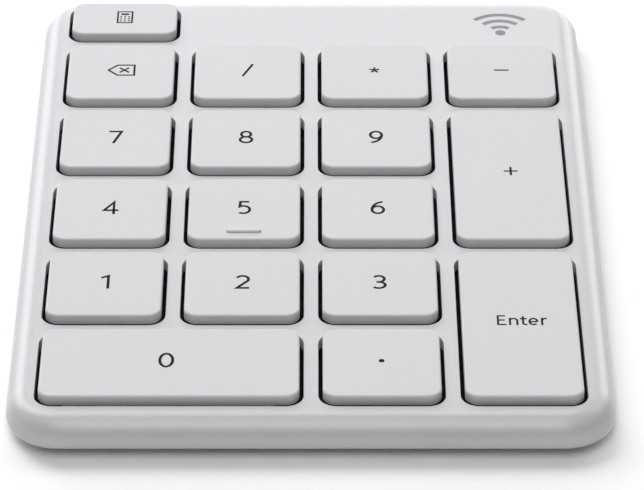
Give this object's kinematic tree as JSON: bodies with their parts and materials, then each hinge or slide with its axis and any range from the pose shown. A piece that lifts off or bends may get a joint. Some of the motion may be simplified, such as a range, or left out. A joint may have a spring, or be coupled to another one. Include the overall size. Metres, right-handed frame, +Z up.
{
  "type": "numeric keypad",
  "caption": "Slim wireless numeric keypad: pale grey case with low-profile island keys on scissor hinges, twist-off coin cell door below.",
  "frame": {"origin": "centre of the bounding box's base, on the plane the foot pads stand on", "axes": "+X to the user's right, +Y from the user towards the back edge (longest side), +Z up through the key tops (shortest)"},
  "size_m": [0.0818, 0.113, 0.0076],
  "materials": {
    "key_plastic": "matte pale grey, fine texture",
    "case_plastic": "matte pale grey, fine texture",
    "base_plastic": "matte pale grey, spark-eroded texture",
    "door_plastic": "matte pale grey",
    "control_plastic": "matte mid grey",
    "hinge_plastic": "black moulded acetal",
    "connector_plastic": "moulded black",
    "frame_plastic": "matte black",
    "membrane_film": "black printed film",
    "board_laminate": "solder-masked laminate",
    "silicone": "translucent grey silicone",
    "foot_rubber": "soft matte",
    "plate_steel": "rolled, stamped and blackened",
    "shield_steel": "tinned",
    "cell_steel": "nickel-plated",
    "spring_steel": "drawn wire and strip",
    "screw_steel": "zinc-plated"
  },
  "bodies": {
    "case": {"top_case": "case_plastic", "key_frame": "key_plastic", "bottom_case": "base_plastic", "support_plate": "plate_steel", "membrane": "membrane_film", "rubber_domes": "silicone", "circuit_board": "board_laminate", "radio_module": "shield_steel", "membrane_connector": "connector_plastic", "board_switches": "connector_plastic", "coin_cell": "cell_steel", "contact_minus": "spring_steel", "contact_plus": "spring_steel", "foot_pads": "foot_rubber", "case_screws": "screw_steel", "plate_screws": "screw_steel", "scissor_calc": "hinge_plastic", "scissor_backspace": "hinge_plastic", "scissor_divide": "hinge_plastic", "scissor_multiply": "hinge_plastic", "scissor_subtract": "hinge_plastic", "scissor_7": "hinge_plastic", "scissor_8": "hinge_plastic", "scissor_9": "hinge_plastic", "scissor_add": "hinge_plastic", "scissor_4": "hinge_plastic", "scissor_5": "hinge_plastic", "scissor_6": "hinge_plastic", "scissor_1": "hinge_plastic", "scissor_2": "hinge_plastic", "scissor_3": "hinge_plastic", "scissor_enter": "hinge_plastic", "scissor_0": "hinge_plastic", "scissor_point": "hinge_plastic"},
    "cap_calc": {"key_calc": "key_plastic"},
    "cap_backspace": {"key_backspace": "key_plastic"},
    "cap_divide": {"key_divide": "key_plastic"},
    "cap_multiply": {"key_multiply": "key_plastic"},
    "cap_subtract": {"key_subtract": "key_plastic"},
    "cap_7": {"key_7": "key_plastic"},
    "cap_8": {"key_8": "key_plastic"},
    "cap_9": {"key_9": "key_plastic"},
    "cap_add": {"key_add": "key_plastic"},
    "cap_4": {"key_4": "key_plastic"},
    "cap_5": {"key_5": "key_plastic"},
    "cap_6": {"key_6": "key_plastic"},
    "cap_1": {"key_1": "key_plastic"},
    "cap_2": {"key_2": "key_plastic"},
    "cap_3": {"key_3": "key_plastic"},
    "cap_enter": {"key_enter": "key_plastic"},
    "cap_0": {"key_0": "key_plastic"},
    "cap_point": {"key_point": "key_plastic"},
    "levelling_wire_add": {"wire_add": "spring_steel"},
    "levelling_wire_enter": {"wire_enter": "spring_steel"},
    "levelling_wire_0": {"wire_0": "spring_steel"},
    "door": {"battery_door": "door_plastic"},
    "slider": {"power_slider": "control_plastic"},
    "pair_button": {"pairing_button": "control_plastic"}
  },
  "joints": [
    {"name": "press_calc", "type": "slide", "parent": "case", "child": "cap_calc", "axis": [0, 0, -1], "range_m": [0, 0.0011], "stiffness_N_per_m": 320, "springref_m": -0.0006, "deforming": ["scissor_calc", "rubber_domes"]},
    {"name": "press_backspace", "type": "slide", "parent": "case", "child": "cap_backspace", "axis": [0, 0, -1], "range_m": [0, 0.0011], "stiffness_N_per_m": 320, "springref_m": -0.0006, "deforming": ["scissor_backspace", "rubber_domes"]},
    {"name": "press_divide", "type": "slide", "parent": "case", "child": "cap_divide", "axis": [0, 0, -1], "range_m": [0, 0.0011], "stiffness_N_per_m": 320, "springref_m": -0.0006, "deforming": ["scissor_divide", "rubber_domes"]},
    {"name": "press_multiply", "type": "slide", "parent": "case", "child": "cap_multiply", "axis": [0, 0, -1], "range_m": [0, 0.0011], "stiffness_N_per_m": 320, "springref_m": -0.0006, "deforming": ["scissor_multiply", "rubber_domes"]},
    {"name": "press_subtract", "type": "slide", "parent": "case", "child": "cap_subtract", "axis": [0, 0, -1], "range_m": [0, 0.0011], "stiffness_N_per_m": 320, "springref_m": -0.0006, "deforming": ["scissor_subtract", "rubber_domes"]},
    {"name": "press_7", "type": "slide", "parent": "case", "child": "cap_7", "axis": [0, 0, -1], "range_m": [0, 0.0011], "stiffness_N_per_m": 320, "springref_m": -0.0006, "deforming": ["scissor_7", "rubber_domes"]},
    {"name": "press_8", "type": "slide", "parent": "case", "child": "cap_8", "axis": [0, 0, -1], "range_m": [0, 0.0011], "stiffness_N_per_m": 320, "springref_m": -0.0006, "deforming": ["scissor_8", "rubber_domes"]},
    {"name": "press_9", "type": "slide", "parent": "case", "child": "cap_9", "axis": [0, 0, -1], "range_m": [0, 0.0011], "stiffness_N_per_m": 320, "springref_m": -0.0006, "deforming": ["scissor_9", "rubber_domes"]},
    {"name": "press_add", "type": "slide", "parent": "case", "child": "cap_add", "axis": [0, 0, -1], "range_m": [0, 0.0011], "stiffness_N_per_m": 320, "springref_m": -0.0006, "deforming": ["scissor_add", "rubber_domes"]},
    {"name": "press_4", "type": "slide", "parent": "case", "child": "cap_4", "axis": [0, 0, -1], "range_m": [0, 0.0011], "stiffness_N_per_m": 320, "springref_m": -0.0006, "deforming": ["scissor_4", "rubber_domes"]},
    {"name": "press_5", "type": "slide", "parent": "case", "child": "cap_5", "axis": [0, 0, -1], "range_m": [0, 0.0011], "stiffness_N_per_m": 320, "springref_m": -0.0006, "deforming": ["scissor_5", "rubber_domes"]},
    {"name": "press_6", "type": "slide", "parent": "case", "child": "cap_6", "axis": [0, 0, -1], "range_m": [0, 0.0011], "stiffness_N_per_m": 320, "springref_m": -0.0006, "deforming": ["scissor_6", "rubber_domes"]},
    {"name": "press_1", "type": "slide", "parent": "case", "child": "cap_1", "axis": [0, 0, -1], "range_m": [0, 0.0011], "stiffness_N_per_m": 320, "springref_m": -0.0006, "deforming": ["scissor_1", "rubber_domes"]},
    {"name": "press_2", "type": "slide", "parent": "case", "child": "cap_2", "axis": [0, 0, -1], "range_m": [0, 0.0011], "stiffness_N_per_m": 320, "springref_m": -0.0006, "deforming": ["scissor_2", "rubber_domes"]},
    {"name": "press_3", "type": "slide", "parent": "case", "child": "cap_3", "axis": [0, 0, -1], "range_m": [0, 0.0011], "stiffness_N_per_m": 320, "springref_m": -0.0006, "deforming": ["scissor_3", "rubber_domes"]},
    {"name": "press_enter", "type": "slide", "parent": "case", "child": "cap_enter", "axis": [0, 0, -1], "range_m": [0, 0.0011], "stiffness_N_per_m": 320, "springref_m": -0.0006, "deforming": ["scissor_enter", "rubber_domes"]},
    {"name": "press_0", "type": "slide", "parent": "case", "child": "cap_0", "axis": [0, 0, -1], "range_m": [0, 0.0011], "stiffness_N_per_m": 320, "springref_m": -0.0006, "deforming": ["scissor_0", "rubber_domes"]},
    {"name": "press_point", "type": "slide", "parent": "case", "child": "cap_point", "axis": [0, 0, -1], "range_m": [0, 0.0011], "stiffness_N_per_m": 320, "springref_m": -0.0006, "deforming": ["scissor_point", "rubber_domes"]},
    {"name": "level_add", "type": "hinge", "parent": "case", "child": "levelling_wire_add", "pos_m": [0.0349, 0.00365, 0.0047], "axis": [0, -1, 0], "range_deg": [0, 9.6]},
    {"name": "level_enter", "type": "hinge", "parent": "case", "child": "levelling_wire_enter", "pos_m": [0.0349, -0.03435, 0.0047], "axis": [0, -1, 0], "range_deg": [0, 9.6]},
    {"name": "level_0", "type": "hinge", "parent": "case", "child": "levelling_wire_0", "pos_m": [-0.019, -0.05025, 0.0047], "axis": [-1, 0, 0], "range_deg": [0, 9.6]},
    {"name": "door_twist", "type": "hinge", "parent": "case", "child": "door", "pos_m": [0, 0.006, 0.0014], "axis": [0, 0, 1], "range_deg": [0, 45]},
    {"name": "power_slide", "type": "slide", "parent": "case", "child": "slider", "axis": [1, 0, 0], "range_m": [0, 0.002]},
    {"name": "pair_press", "type": "slide", "parent": "case", "child": "pair_button", "axis": [0, 0, 1], "range_m": [0, 0.00025], "stiffness_N_per_m": 300, "springref_m": -0.0006}
  ],
  "couplings": [
    {"joint": "level_add", "follows": "press_add", "rad_per_m": 151.83},
    {"joint": "level_enter", "follows": "press_enter", "rad_per_m": 151.83},
    {"joint": "level_0", "follows": "press_0", "rad_per_m": 151.83}
  ]
}
